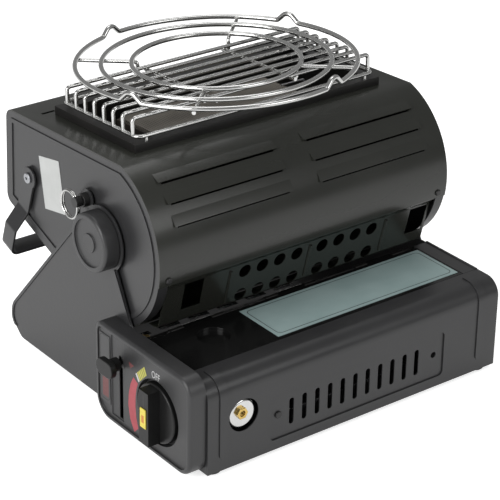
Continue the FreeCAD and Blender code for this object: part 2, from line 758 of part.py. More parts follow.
def gas_pipe():
    """Rigid tube from the regulator through the heat shield to the union in the rear well."""
    y0 = size.dial_place + size.regulator_radius - 2
    rise = Vector(PIPE_X, UNION_Y, UNION_Z)
    points = [(Vector(PIPE_X, y0, size.dial_height), 0), (Vector(PIPE_X, UNION_Y, size.dial_height), 9.0),
              (rise, 0)]
    tube = wire_solid(points, size.pipe_radius)
    return tube.cut(rod_x(size.regulator_radius, -inner_half, 0, size.dial_place, size.dial_height))


UNION_Y = 112.0
UNION_Z = 50.0
feature("gas_pipe", gas_pipe())
feature("pipe_union", hexagon(11.0, 9.0, Vector(PIPE_X, UNION_Y, UNION_Z), Vector(0, 0, 1)))
feature("piezo_igniter", rod_x(size.piezo_radius, -inner_half, -inner_half + size.piezo_length, 74.0, 13.0))


def cartridge_cradle():
    """Two curved saddles on a rail that carry the gas cartridge."""
    body = box(-52.0, 84.0, 36.0, 56.0, size.sheet_metal * 2, size.sheet_metal * 2 + 1.2)
    for x in (-50.0, 16.0, 80.0):
        body = body.fuse(box(x, x + 1.5, 20.0, 72.0, size.sheet_metal * 2, 17.0))
    cup = rod_x(size.cartridge_radius + 0.5, -60, 100, size.cartridge_place,
                size.sheet_metal * 2 + 1.7 + size.cartridge_radius + 0.5)
    return body.cut(cup).removeSplitter()


feature("cartridge_cradle", cartridge_cradle())

# Feet: turned rubber buttons with a stem pushed into the floor

def feet():
    group = []
    for x in (-half_width + size.foot_inset, half_width - size.foot_inset):
        for y in (size.foot_radius + 3, size.rear_foot_place):
            pad = rod_z(size.foot_radius, -size.foot_height, 0, x, y)
            edge = [e for e in pad.Edges if abs(e.BoundBox.ZMax + size.foot_height) < 1e-6]
            group.append(pad.makeFillet(1.2, edge))
    return Part.makeCompound(group)


feature("rubber_feet", feet())


def base_screws():
    front = Vector(panel_screw, size.recess_depth, size.slot_height + 1)
    group = [pan_head(SCREW_HEAD, 1.6, front, Vector(0, -1, 0))]
    for y, z in SIDE_SCREWS:
        group.append(pan_head(SCREW_HEAD, 1.6, Vector(half_width, y, z), Vector(1, 0, 0)))
    return Part.makeCompound(group)


feature("base_screws", base_screws())


# Tilt latch: a bush on the left leg plate, a sprung pin and its pull ring

def latch_bush():
    bush = rod_x(size.latch_bush_radius, -half_width - LATCH_BUSH, -half_width, latch_y, latch_z)
    neck = rod_x(size.latch_bush_radius - 1.5, -half_width - 1, -inner_half, latch_y, latch_z)
    bore = rod_x(size.latch_pin_radius + size.running_fit, -half_width - 9, -inner_half + 1, latch_y, latch_z)
    return bush.fuse(neck).cut(bore)


def pull_ring(grow=0.0):
    head_x = -half_width - LATCH_HEAD
    ring_y = latch_y + size.pull_ring_radius * math.cos(RING_DROP)
    ring_z = latch_z - size.pull_ring_radius * math.sin(RING_DROP)
    coil = None
    for dx in (-size.pull_ring_wire * 0.95, size.pull_ring_wire * 0.95):
        turn = Part.makeTorus(size.pull_ring_radius, size.pull_ring_wire + grow,
                              Vector(head_x + dx, ring_y, ring_z), Vector(1, 0, 0))
        coil = turn if coil is None else coil.fuse(turn)
    return coil


def latch_pin():
    head_x = -half_width - LATCH_HEAD
    shaft = rod_x(size.latch_pin_radius, head_x, -inner_half - 0.2, latch_y, latch_z)
    head = rod_x(size.latch_pin_radius + 1.6, head_x - 2.6, head_x + 2.6, latch_y, latch_z)
    return shaft.fuse(head).cut(pull_ring(size.running_fit))


LATCH_BUSH = 5.0
LATCH_HEAD = 8.5
RING_DROP = math.radians(30.0)
feature("latch_bush", latch_bush())
feature("latch_pin", latch_pin())
feature("pull_ring", pull_ring())


# Drum outline in its own frame, pivot at the origin

def drum_face(inset=0.0):
    radius = size.drum_radius
    top = size.drum_top
    low = Vector(0, size.drum_back_low, -size.drum_back_drop)
    far = math.hypot(low.y, low.z)
    touch = math.atan2(low.z, low.y) - math.acos(radius / far)
    start = Vector(0, radius * math.cos(touch), radius * math.sin(touch))
    front_top = Vector(0, -math.sqrt(radius ** 2 - top ** 2), top)
    back_top = Vector(0, size.drum_back_top, top)
    corner = size.drum_back_corner
    edges = path_edges([(start, 0), (low, corner), (back_top, corner), (front_top, 0)], False)
    edges.append(Part.Arc(front_top, Vector(0, -radius, 0), start).toShape())
    face = Part.Face(Part.Wire(Part.__sortEdges__(edges)))
    if inset > 0:
        face = Part.Face(face.OuterWire.makeOffset2D(-inset))
    return face


def drum_slab(inset, x0, x1):
    face = drum_face(inset)
    face.translate(Vector(x0, 0, 0))
    return face.extrude(Vector(x1 - x0, 0, 0))


def sector(angles, x0, x1):
    """A fan-shaped block about the pivot between two directions, far past the drum."""
    far = 400.0
    points = [(0, 0, 0)]
    for degrees in angles:
        points.append((far * math.cos(math.radians(degrees)), far * math.sin(math.radians(degrees)), 0))
    return plate(points, x0, x1)


cap_x = half_width - size.drum_side_gap
shell_in = size.shell_metal
latch_hole = Vector(0, size.latch_place, size.latch_height)


def drum_screw_places():
    """Where the drum's screws sit on the shell and which way they face."""
    turn = math.radians(191)
    front = Vector(0, math.cos(turn), math.sin(turn))
    slope = math.atan2(size.drum_back_low - size.drum_back_top, size.drum_top + size.drum_back_drop)
    back = Vector(0, math.cos(slope), math.sin(slope))
    back_y = size.drum_back_low - (size.drum_back_low - size.drum_back_top) * size.drum_back_drop \
        / (size.drum_top + size.drum_back_drop)
    places = []
    for x in (8.5 - cap_x, cap_x - 8.5):
        places.append((front * size.drum_radius + Vector(x, 0, 0), front))
        places.append((Vector(x, back_y, 0), back))
    return places


def with_screw_bores(body):
    for place, out in drum_screw_places():
        bore = Part.makeCylinder(DRUM_SCREW / 2 + size.running_fit, 10, place - out * 8, out)
        body = body.cut(bore)
    return body


DRUM_SCREW = 2.6


def end_cap(side):
    """Pressed end plate with a double bead near its edge and a lip inside the shell."""
    outer = cap_x * side
    inner = (cap_x - size.plate_metal) * side
    x0, x1 = min(outer, inner), max(outer, inner)
    lip_x = (cap_x - size.cap_lip) * side
    lip_x0, lip_x1 = min(outer, lip_x), max(outer, lip_x)
    edge = shell_in + size.running_fit
    body = drum_slab(edge, x0, x1)
    lip = drum_slab(edge, lip_x0, lip_x1).cut(drum_slab(edge + size.sheet_metal, lip_x0 - 1, lip_x1 + 1))
    body = body.fuse(lip)
    bead_x0 = outer - size.bead_height if side < 0 else outer
    ring = drum_slab(size.bead_inset, bead_x0, bead_x0 + size.bead_height)
    ring = ring.cut(drum_slab(size.bead_inset + size.bead_width, bead_x0 - 1, bead_x0 + size.bead_height + 1))
    body = body.fuse(ring)
    body = body.cut(rod_x(size.shaft_radius + size.running_fit, x0 - 1, x1 + 1, 0, 0))
    body = body.cut(rod_x(size.rivet_radius + size.running_fit, x0 - 2, x1 + 2,
                          size.bail_pivot_place, size.bail_pivot_height))
    if side < 0:
        for turn in (0.0, -90.0):
            place = Rotation(Vector(1, 0, 0), turn).multVec(latch_hole)
            body = body.cut(rod_x(size.latch_pin_radius + 0.5, x0 - 2, x1 + 2, place.y, place.z))
    return with_screw_bores(body)


for side, word in ((-1, "left"), (1, "right")):
    feature("end_cap_" + word, end_cap(side), drum_at)


def louver(x0, angle):
    """A pressed hood on the drum's front with its slit on the lower side."""
    radius = size.drum_radius
    rise = size.louver_rise
    hood = outline([(radius - 0.5, -5.0, 0), (radius - 0.1, -5.0, 0), (radius + rise, 3.2, 0),
                    (radius + rise, 4.0, 0), (radius - 0.5, 4.0, 0)])
    hood = hood.extrude(Vector(size.louver_length, 0, 0))
    slit = box(3, size.louver_length - 3, radius - 3, radius + rise - 0.7, 2.8, 5.0)
    for shape in (hood, slit):
        shape.rotate(Vector(0, 0, 0), Vector(1, 0, 0), angle)
        shape.translate(Vector(x0, 0, 0))
    return hood, slit


def drum_shell():
    """Rolled sheet from the lower front edge over the top and down the back."""
    x = cap_x
    body = drum_slab(0.0, -x, x).cut(drum_slab(shell_in, -x - 1, x + 1))
    back = math.degrees(math.atan2(-size.drum_back_drop - 2, size.drum_back_low)) + 360
    body = body.cut(sector([size.shell_start, 230, 270, 310, back], -x - 2, x + 2))
    gap = size.fit_gap
    body = body.cut(box(-well_x - gap, well_x + gap, well_y0 - gap, well_y1 + gap,
                        size.drum_top - 5, size.drum_top + 5))
    body = body.cut(box(-127, -115, 104, 107, size.drum_top - 5, size.drum_top + 5))
    for row in range(3):
        angle = size.louver_first + row * size.louver_step
        for centre in (-size.louver_place, size.louver_place):
            hood, slit = louver(centre - size.louver_length / 2, angle)
            body = body.fuse(hood)
            body = body.cut(slit)
    return with_screw_bores(body)


# the tray's inner walls hang in the shell's window
well_x = size.tray_half_width - size.tray_flange
well_y0 = size.tray_front + size.tray_flange
well_y1 = size.tray_back - size.tray_flange
feature("drum_shell", drum_shell(), drum_at)


def drum_bottom():
    """Closing sheet under the drum, from the back corner round to the apron."""
    x = cap_x
    body = drum_slab(0.0, -x, x).cut(drum_slab(shell_in, -x - 1, x + 1))
    back = math.degrees(math.atan2(-size.drum_back_drop - 2, size.drum_back_low)) + 360
    return body.common(sector([236, 270, 310, back], -x - 2, x + 2))


feature("drum_bottom", drum_bottom(), drum_at)


def apron():
    """Perforated front apron under the shell's edge: two rows of air holes, beads, end openings."""
    inner = size.drum_radius - shell_in - 0.1
    half = cap_x - size.cap_lip - size.plate_metal

    def on_arc(degrees):
        return Vector(0, inner * math.cos(math.radians(degrees)), inner * math.sin(math.radians(degrees)))

    run = [(on_arc(187), 0), (on_arc(196), 4.0), (Vector(0, -61.6, -24.0), 4.0), (Vector(0, -50.1, -60.5), 4.0),
           (Vector(0, -38.1, -61.0), 0)]
    body = strip(path_edges(run, False), -shell_in, -half, half)
    middle = size.apron_middle
    for i in range(4):
        for side in (-1, 1):
            x = middle + side * (size.apron_first_hole + i * size.apron_hole_pitch)
            for z in (-31.5, -53.5):
                body = body.cut(rod_y(size.apron_hole_radius, -90, -42, x, z))
    for x in (middle - 77.0, middle, middle + 77.0):
        body = body.fuse(wire_solid([(Vector(x, -60.5, -27.4), 0), (Vector(x, -51.4, -56.4), 0)], 1.4))
    for x0, x1 in ((middle - size.apron_window_far, middle - size.apron_window_near),
                   (middle + size.apron_window_near, middle + size.apron_window_far)):
        body = body.cut(box(x0, x1, -90, -42, -49, -25))
    return body


feature("air_apron", apron(), drum_at)


# Drum: window tray, burner, gas feed

def window_tray():
    """Sunken tray in the drum's window under a raised kerb; its floor frames the burner."""
    metal = size.shell_metal
    top = size.drum_top + size.tray_height
    low = size.drum_top - size.tray_depth
    w = size.tray_half_width
    body = box(-w, w, size.tray_front, size.tray_back, size.drum_top, top)
    under = box(-w + metal, w - metal, size.tray_front + metal, size.tray_back - metal,
                size.drum_top - 1, top - metal)
    body = body.cut(under).fuse(box(-well_x, well_x, well_y0, well_y1, low, top))
    hollow = box(-well_x + metal, well_x - metal, well_y0 + metal, well_y1 - metal, low + metal, top + 10)
    mouth = box(-burner_x - 0.3, burner_x + 0.3, burner_y0 - 0.3, burner_y1 + 0.3, low - 1, low + 2)
    return body.cut(hollow).cut(mouth)


burner_mid = size.burner_place
burner_wall = 2.0
burner_x = size.tile_half_width + burner_wall
burner_y0 = burner_mid - size.tile_depth / 2 - burner_wall
burner_y1 = burner_mid + size.tile_depth / 2 + burner_wall
tile_z = size.drum_top - size.tray_depth
burner_low = tile_z - size.burner_depth
MIXER_Z = 17.0
COLLAR_X = -30.0
COLLAR = 8.0
TUBE_WALL = 1.2


def burner_body():
    """Cast box with a ledge for the ceramic tile and a chamber over the mixer's collar."""
    body = box(-burner_x, burner_x, burner_y0, burner_y1, burner_low, tile_z + size.tile_thickness - 2)
    seat = box(-size.tile_half_width - 0.05, size.tile_half_width + 0.05, burner_y0 + burner_wall - 0.05,
               burner_y1 - burner_wall + 0.05, tile_z, tile_z + 20)
    chamber = box(-burner_x + 6, burner_x - 6, burner_y0 + 6, burner_y1 - 6,
                  burner_low + burner_wall, tile_z + 1)
    port = rod_z(COLLAR - TUBE_WALL, burner_low - 1, burner_low + 5, COLLAR_X, burner_mid)
    return body.cut(seat).cut(chamber).cut(port)


def mixer_tube():
    """Air and gas mixing tube under the burner with an open bell end and a collar."""
    x0, x1 = -120.0, -18.0
    body = rod_x(size.mixer_radius, x0, x1, burner_mid, MIXER_Z)
    mouth = Vector(x0, burner_mid, MIXER_Z)
    bell = Part.makeCone(size.mixer_radius + 3, size.mixer_radius, 10, mouth, Vector(1, 0, 0))
    collar = rod_z(COLLAR, MIXER_Z, burner_low, COLLAR_X, burner_mid)
    bore = rod_x(size.mixer_radius - TUBE_WALL, x0 - 1, x1 - 2, burner_mid, MIXER_Z)
    flare = Part.makeCone(size.mixer_radius + 3 - TUBE_WALL, size.mixer_radius - TUBE_WALL, 10,
                          mouth, Vector(1, 0, 0))
    riser = rod_z(COLLAR - TUBE_WALL, MIXER_Z, burner_low + 1, COLLAR_X, burner_mid)
    return body.fuse(bell).fuse(collar).cut(bore).cut(flare).cut(riser)


def injector():
    """Brass gas jet on the left end plate; its nozzle points into the bell."""
    x0 = -cap_x + size.plate_metal
    base = Vector(x0, burner_mid, MIXER_Z)
    body = hexagon(12.0, 6.0, base, Vector(1, 0, 0))
    body = body.fuse(rod_x(4.0, x0, x0 + 14, burner_mid, MIXER_Z))
    nozzle = Part.makeCone(4.0, 1.6, 6.0, base + Vector(14, 0, 0), Vector(1, 0, 0))
    return body.fuse(nozzle).cut(rod_x(0.6, x0 + 10, x0 + 30, burner_mid, MIXER_Z))


def electrode():
    """Spark electrode: a ceramic sleeve through the tray floor and a bent tip over the tile."""
    place = Vector(size.tile_half_width + 14, burner_mid, tile_z - 12)
    sleeve = rod_z(3.0, place.z, tile_z + 13, place.x, place.y)
    tip = [(Vector(place.x, place.y, tile_z + 12), 0), (Vector(place.x, place.y, tile_z + 17), 2.0),
           (Vector(place.x - 24, place.y, tile_z + 17), 0)]
    return sleeve.fuse(wire_solid(tip, 0.8))


tray = window_tray().cut(rod_z(3.05, tile_z - 2, tile_z + 2, size.tile_half_width + 14, burner_mid))
feature("window_tray", tray, drum_at)
feature("burner_body", burner_body(), drum_at)

tile = doc.addObject("Part::Box", "ceramic_tile")
on_sheet(tile, Length="Sizes.tile_half_width * 2", Width="Sizes.tile_depth", Height="Sizes.tile_thickness")
keep(tile, "ceramic_tile", drum_at.multiply(Placement(
    Vector(-size.tile_half_width, burner_mid - size.tile_depth / 2, tile_z), Rotation())))

feature("mixer_tube", mixer_tube(), drum_at)
feature("gas_injector", injector(), drum_at)
feature("spark_electrode", electrode(), drum_at)


# Drum: wire guard over the window

def joined(shapes):
    body = shapes[0]
    return body.multiFuse(shapes[1:]) if len(shapes) > 1 else body


def wire_guard():
    """Parallel wires with bent-down ends on a rail frame, tied by two cross wires."""
    half = size.guard_half_width
    wire = size.guard_wire
    top, foot = size.guard_top, size.guard_foot
    last = size.guard_first + size.guard_pitch * (size.guard_count - 1)
    parts = []
    for i in range(int(size.guard_count)):
        y = size.guard_first + i * size.guard_pitch
        run = [(Vector(-half, y, foot), 0), (Vector(-half, y, top), size.guard_bend / 2),
               (Vector(half, y, top), size.guard_bend / 2), (Vector(half, y, foot), 0)]
        parts.append(wire_solid(run, wire))
    y0, y1 = size.guard_first - size.guard_bend, last + size.guard_bend
    frame = [(Vector(-half, y0, foot), size.guard_bend), (Vector(half, y0, foot), size.guard_bend),
             (Vector(half, y1, foot), size.guard_bend), (Vector(-half, y1, foot), size.guard_bend)]
    parts.append(wire_solid(frame, wire, True))
    for x in (-size.guard_cross_place, size.guard_cross_place):
        parts.append(rod_y(wire, size.guard_first - 3, last + 3, x, top - 2 * wire + 0.3))
    for x in (-GUARD_STUB, GUARD_STUB):
        for y in (y0 + STUB_INSET, y1 - STUB_INSET):
            parts.append(rod_z(wire, size.drum_top + size.tray_height, foot, x, y))
    return joined(parts)


GUARD_STUB = 106.0
STUB_INSET = 0.3
feature("wire_guard", wire_guard(), drum_at)


# Drum: hubs and shafts at the pivot, nuts, washers, screws

def hub(side):
    """Round cap outside the leg plate: raised rim, shallow face, centre button, shaft inwards."""
    face = half_width + size.fit_gap + 0.1 + size.hub_height
    inner = half_width + size.fit_gap + 0.1
    x0, x1 = min(side * face, side * inner), max(side * face, side * inner)
    body = rod_x(size.hub_radius, x0, x1, 0, 0)
    rim = [e for e in body.Edges if abs(e.BoundBox.XMin - side * face) < 1e-6 and e.BoundBox.XLength < 1e-6]
    body = body.makeFillet(2.5, rim)
    depth = size.hub_recess
    hollow_x = side * (face - depth) if side > 0 else side * face - 1
    body = body.cut(rod_x(size.hub_radius - 4.5, hollow_x, hollow_x + depth + 1, 0, 0))
    button_x = side * (face - depth) if side > 0 else side * (face - 0.4)
    body = body.fuse(rod_x(7.5, button_x, button_x + depth - 0.4, 0, 0))
    end = side * SHAFT_END
    return body.fuse(rod_x(size.shaft_radius, min(end, side * inner), max(end, side * inner), 0, 0))


SHAFT_END = 131.5
for side, word in ((-1, "left"), (1, "right")):
    feature("hub_" + word, hub(side), drum_at)


def pivot_hardware(nuts):
    group = []
    for side in (-1, 1):
        outer = side * (cap_x - size.plate_metal)
        inward = Vector(-side, 0, 0)
        if nuts:
            body = hexagon(19.0, 5.0, Vector(outer, 0, 0) + inward * WASHER, inward)
        else:
            body = Part.makeCylinder(13.0, WASHER, Vector(outer, 0, 0), inward)
        bore = Part.makeCylinder(size.shaft_radius + size.running_fit, 30,
                                 Vector(outer, 0, 0) - inward * 5, inward)
        group.append(body.cut(bore))
    return Part.makeCompound(group)


WASHER = 1.5
feature("pivot_nuts", pivot_hardware(True), drum_at)
feature("pivot_washers", pivot_hardware(False), drum_at)


def drum_screws():
    return Part.makeCompound([pan_head(DRUM_SCREW, 1.5, place, out) for place, out in drum_screw_places()])


feature("drum_screws", drum_screws(), drum_at)


def bail_rivets():
    group = []
    for side in (-1, 1):
        out = Vector(side, 0, 0)
        bare = half_width + size.fit_gap + size.fit_gap
        head = Part.makeCylinder(size.rivet_radius + 1.4, 1.6, Vector(side * bare, 0, 0), out)
        edge = [e for e in head.Edges if abs(abs(e.BoundBox.Center.x) - bare - 1.6) < 1e-4 and e.Closed
                and e.Curve.TypeId == "Part::GeomCircle"]
        head = head.makeFillet(0.9, edge)
        shank = Part.makeCylinder(size.rivet_radius, bare - cap_x + 5, Vector(side * bare, 0, 0), out * -1)
        dent = Part.makeCylinder(1.3, 3, Vector(side * bare, 0, 0), out)
        body = head.fuse(shank).cut(dent)
        body.translate(Vector(0, size.bail_pivot_place, size.bail_pivot_height))
        group.append(body)
    return Part.makeCompound(group)


feature("handle_rivets", bail_rivets(), drum_at)
STICKER = 0.3
feature("bare_sticker", plate([(57, 0, 0), (62, 43, 0), (91, 39, 0), (86, -4, 0)],
                                -cap_x - STICKER, -cap_x), drum_at)


# Carrying handle: a flat bail hinged on the drum's end plates

def carrying_handle():
    metal = size.bail_metal
    wide = size.bail_width
    near = half_width + size.fit_gap
    step = size.bail_step
    fall = size.bail_length
    kink = size.bail_step_place
    points = [(Vector(-near, 0, 0), 0), (Vector(-near, 0, -kink + step), 5.0),
              (Vector(-near - step, 0, -kink - step), 5.0), (Vector(-near - step, 0, -fall), 8.0),
              (Vector(near + step, 0, -fall), 8.0), (Vector(near + step, 0, -kink - step), 5.0),
              (Vector(near, 0, -kink + step), 5.0), (Vector(near, 0, 0), 0)]
    wire = Part.Wire(path_edges(points, False))
    face = wire.makeOffset2D(metal, 0, True, True)
    if face.BoundBox.XLength > 2 * (near + step) + 1e-3:
        face = wire.makeOffset2D(-metal, 0, True, True)
    face.translate(Vector(0, -wide / 2, 0))
    body = face.extrude(Vector(0, wide, 0))
    eye = wide / 2 + 1.5
    for side in (-1, 1):
        x0 = min(side * near, side * (near - metal))
        body = body.fuse(rod_x(eye, x0, x0 + metal, 0, 0))
        body = body.cut(rod_x(size.rivet_radius + size.running_fit, x0 - 1, x0 + metal + 1, 0, 0))
    body.rotate(Vector(0, 0, 0), Vector(1, 0, 0), size.bail_angle)
    body.translate(Vector(0, size.bail_pivot_place, size.bail_pivot_height))
    return body


feature("carrying_handle", carrying_handle(), drum_at)


# Trivet: three wire rings on four spokes

def at_angle(radius, degrees, z):
    turn = math.radians(degrees)
    return Vector(size.trivet_middle + radius * math.cos(turn), size.trivet_place + radius * math.sin(turn), z)


def humped_ring(radius, z):
    """Outer ring with four small raised loops that centre a pot."""
    wire = size.ring_wire
    centre = Vector(size.trivet_middle, size.trivet_place, z)
    high = z + size.hump_rise
    foot = radius * math.tan(math.radians(HUMP_FOOT - HUMP))
    parts = []
    for i, middle in enumerate(HUMP_ANGLES):
        gap = (HUMP_ANGLES[(i + 1) % 4] - middle) % 360
        span = Part.makeTorus(radius, wire, Vector(0, 0, 0), Vector(0, 0, 1), 0, 360, gap - 2 * HUMP_FOOT)
        span.rotate(Vector(0, 0, 0), Vector(0, 0, 1), middle + HUMP_FOOT)
        span.translate(centre)
        parts.append(span)
        # each loop leaves and meets the ring along its tangent
        start, end = at_angle(radius, middle - HUMP_FOOT, z), at_angle(radius, middle + HUMP_FOOT, z)
        leave = Vector(0, 0, 1).cross(start - centre).normalize() * foot
        meet = Vector(0, 0, 1).cross(end - centre).normalize() * foot
        loop = [(start, 0), (start + leave, 3.5), (at_angle(radius, middle - HUMP_CREST, high), 6.0),
                (at_angle(radius, middle + HUMP_CREST, high), 6.0), (end - meet, 3.5), (end, 0)]
        parts.append(wire_solid(loop, wire))
    return joined(parts)


HUMP_ANGLES = (21.5, 104.5, 198.5, 287.0)
HUMP_CREST = 1.4
HUMP = 5.0
HUMP_FOOT = 7.5


def trivet():
    z = size.guard_top + size.ring_wire + 3 * size.guard_wire - 0.1
    spoke_z = z - size.ring_wire - size.spoke_wire + 0.4
    parts = [humped_ring(size.ring_outer, z)]
    for radius in (size.ring_middle, size.ring_inner):
        centre = Vector(size.trivet_middle, size.trivet_place, z)
        parts.append(Part.makeTorus(radius, size.ring_wire, centre, Vector(0, 0, 1)))
    for i in range(4):
        angle = 45 + 90 * i
        end = size.ring_inner - 3.5
        run = [(at_angle(size.ring_outer, angle, spoke_z), 0), (at_angle(end, angle, spoke_z), 2.6),
               (at_angle(end, angle, spoke_z - size.spoke_leg), 0)]
        parts.append(wire_solid(run, size.spoke_wire))
    return joined(parts)


feature("pot_trivet", trivet(), drum_at)


# One frame: the box of the whole object stands centred on the origin

whole = FreeCAD.BoundBox()
doc.recompute()
for piece in pieces:
    whole.add(piece.Shape.optimalBoundingBox(False, False))
shift = Vector(-whole.Center.x, -whole.Center.y, -whole.ZMin)
for piece in pieces:
    piece.Placement = Placement(shift, Rotation()).multiply(piece.Placement)
doc.recompute()

for item in doc.Objects:
    if "Invalid" in item.State or "Error" in item.State:
        raise RuntimeError("%s did not recompute" % item.Label)
for piece in pieces:
    if piece.Shape.isNull() or not piece.Shape.isValid():
        raise RuntimeError("%s has no valid shape" % piece.Label)

print("moved by", shift)
print("pivot", pivot + shift, "lean", size.drum_lean)
print("lid hinge", Vector(0, hinge_y, hinge_z) + shift)
print("dial", Vector(fascia_face, size.dial_place, size.dial_height) + shift)
print("handle hinge", drum_at.multVec(Vector(0, size.bail_pivot_place, size.bail_pivot_height)) + shift)

os.makedirs("parts", exist_ok=True)
for piece in pieces:
    piece.Shape.exportStep("parts/%s.step" % piece.Label)
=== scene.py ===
import bpy
import bmesh
import json
import math
from mathutils import Matrix, Vector

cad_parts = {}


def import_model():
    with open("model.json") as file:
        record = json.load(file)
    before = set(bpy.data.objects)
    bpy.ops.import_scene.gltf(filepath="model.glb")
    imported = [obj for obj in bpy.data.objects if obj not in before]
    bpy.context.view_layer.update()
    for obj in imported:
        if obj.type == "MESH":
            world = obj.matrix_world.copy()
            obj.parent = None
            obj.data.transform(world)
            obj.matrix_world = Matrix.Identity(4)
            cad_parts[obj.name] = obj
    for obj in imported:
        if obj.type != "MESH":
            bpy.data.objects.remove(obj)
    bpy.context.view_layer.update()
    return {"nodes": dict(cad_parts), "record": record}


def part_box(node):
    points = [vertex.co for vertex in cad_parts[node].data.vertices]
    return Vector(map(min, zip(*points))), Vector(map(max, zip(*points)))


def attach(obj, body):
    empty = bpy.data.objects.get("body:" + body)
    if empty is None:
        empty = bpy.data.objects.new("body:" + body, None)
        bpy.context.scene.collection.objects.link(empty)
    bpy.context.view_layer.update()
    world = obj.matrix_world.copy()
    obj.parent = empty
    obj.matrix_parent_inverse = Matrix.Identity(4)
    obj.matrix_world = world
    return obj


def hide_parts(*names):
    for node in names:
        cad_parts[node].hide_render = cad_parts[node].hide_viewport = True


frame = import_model()
nodes = frame["nodes"]
body_of = {node: body for body, members in frame["record"]["behaviour"]["bodies"].items() for node in members}
slot_of = {row["node"]: row["material_slot"] for row in frame["record"]["subparts"]}


# Camera: a long lens from the front left and above, slightly rolled, as the photograph was taken

def place_camera():
    lens = bpy.data.cameras.new("photo_camera")
    lens.sensor_width = 36.0
    lens.lens = 150.35
    lens.clip_start = 0.05
    lens.clip_end = 30.0
    camera = bpy.data.objects.new("photo_camera", lens)
    right = Vector((0.796564, -0.604372, 0.014836))
    up = Vector((0.260583, 0.365386, 0.893638))
    back = Vector((-0.545511, -0.707974, 0.448543))
    place = Vector((-0.90714, -1.198038, 0.84372))
    turn = Matrix((right, up, back)).transposed()
    camera.matrix_world = Matrix.Translation(place) @ turn.to_4x4()
    bpy.context.collection.objects.link(camera)
    bpy.context.scene.camera = camera


place_camera()


# Shader groups shared by the finishes

def new_group(name, inputs, outputs):
    group = bpy.data.node_groups.new(name, "ShaderNodeTree")
    for label, kind, value in inputs:
        socket = group.interface.new_socket(label, in_out="INPUT", socket_type=kind)
        socket.default_value = value
    for label, kind in outputs:
        group.interface.new_socket(label, in_out="OUTPUT", socket_type=kind)
    start = group.nodes.new("NodeGroupInput")
    end = group.nodes.new("NodeGroupOutput")
    return group, start, end


def noise(tree, detail, roughness=0.5):
    """Noise on the piece's own coordinates; its scale comes from the group's input."""
    coordinates = tree.nodes.new("ShaderNodeTexCoord")
    node = tree.nodes.new("ShaderNodeTexNoise")
    node.inputs["Detail"].default_value = detail
    node.inputs["Roughness"].default_value = roughness
    tree.links.new(coordinates.outputs["Object"], node.inputs["Vector"])
    return node


def grain_group():
    """Fine texture of sprayed, cast or moulded surfaces as a height."""
    group, start, end = new_group(
        "surface_grain",
        [("Fine Scale", "NodeSocketFloat", 900.0), ("Broad Scale", "NodeSocketFloat", 60.0),
         ("Broad Share", "NodeSocketFloat", 0.3)],
        [("Height", "NodeSocketFloat")])
    fine = noise(group, 2.0)
    broad = noise(group, 2.0)
    mix = group.nodes.new("ShaderNodeMix")
    group.links.new(start.outputs["Fine Scale"], fine.inputs["Scale"])
    group.links.new(start.outputs["Broad Scale"], broad.inputs["Scale"])
    group.links.new(start.outputs["Broad Share"], mix.inputs["Factor"])
    group.links.new(fine.outputs["Fac"], mix.inputs["A"])
    group.links.new(broad.outputs["Fac"], mix.inputs["B"])
    group.links.new(mix.outputs["Result"], end.inputs["Height"])
    return group


def wear_group():
    """Soft cloudy variation of a finish: colour between two tones and roughness between two values."""
    group, start, end = new_group(
        "finish_variation",
        [("Colour", "NodeSocketColor", (0.05, 0.05, 0.05, 1.0)),
         ("Second Colour", "NodeSocketColor", (0.06, 0.06, 0.06, 1.0)),
         ("Patch Scale", "NodeSocketFloat", 18.0), ("Roughness Low", "NodeSocketFloat", 0.35),
         ("Roughness High", "NodeSocketFloat", 0.45)],
        [("Colour", "NodeSocketColor"), ("Roughness", "NodeSocketFloat")])
    patches = noise(group, 5.0, 0.6)
    spread = group.nodes.new("ShaderNodeMapRange")
    spread.inputs["From Min"].default_value = 0.3
    spread.inputs["From Max"].default_value = 0.7
    tint = group.nodes.new("ShaderNodeMix")
    tint.data_type = "RGBA"
    gloss = group.nodes.new("ShaderNodeMix")
    group.links.new(start.outputs["Patch Scale"], patches.inputs["Scale"])
    group.links.new(patches.outputs["Fac"], spread.inputs["Value"])
    group.links.new(spread.outputs["Result"], tint.inputs["Factor"])
    group.links.new(start.outputs["Colour"], tint.inputs["A"])
    group.links.new(start.outputs["Second Colour"], tint.inputs["B"])
    group.links.new(spread.outputs["Result"], gloss.inputs["Factor"])
    group.links.new(start.outputs["Roughness Low"], gloss.inputs["A"])
    group.links.new(start.outputs["Roughness High"], gloss.inputs["B"])
    group.links.new(tint.outputs["Result"], end.inputs["Colour"])
    group.links.new(gloss.outputs["Result"], end.inputs["Roughness"])
    return group


GRAIN = grain_group()
WEAR = wear_group()


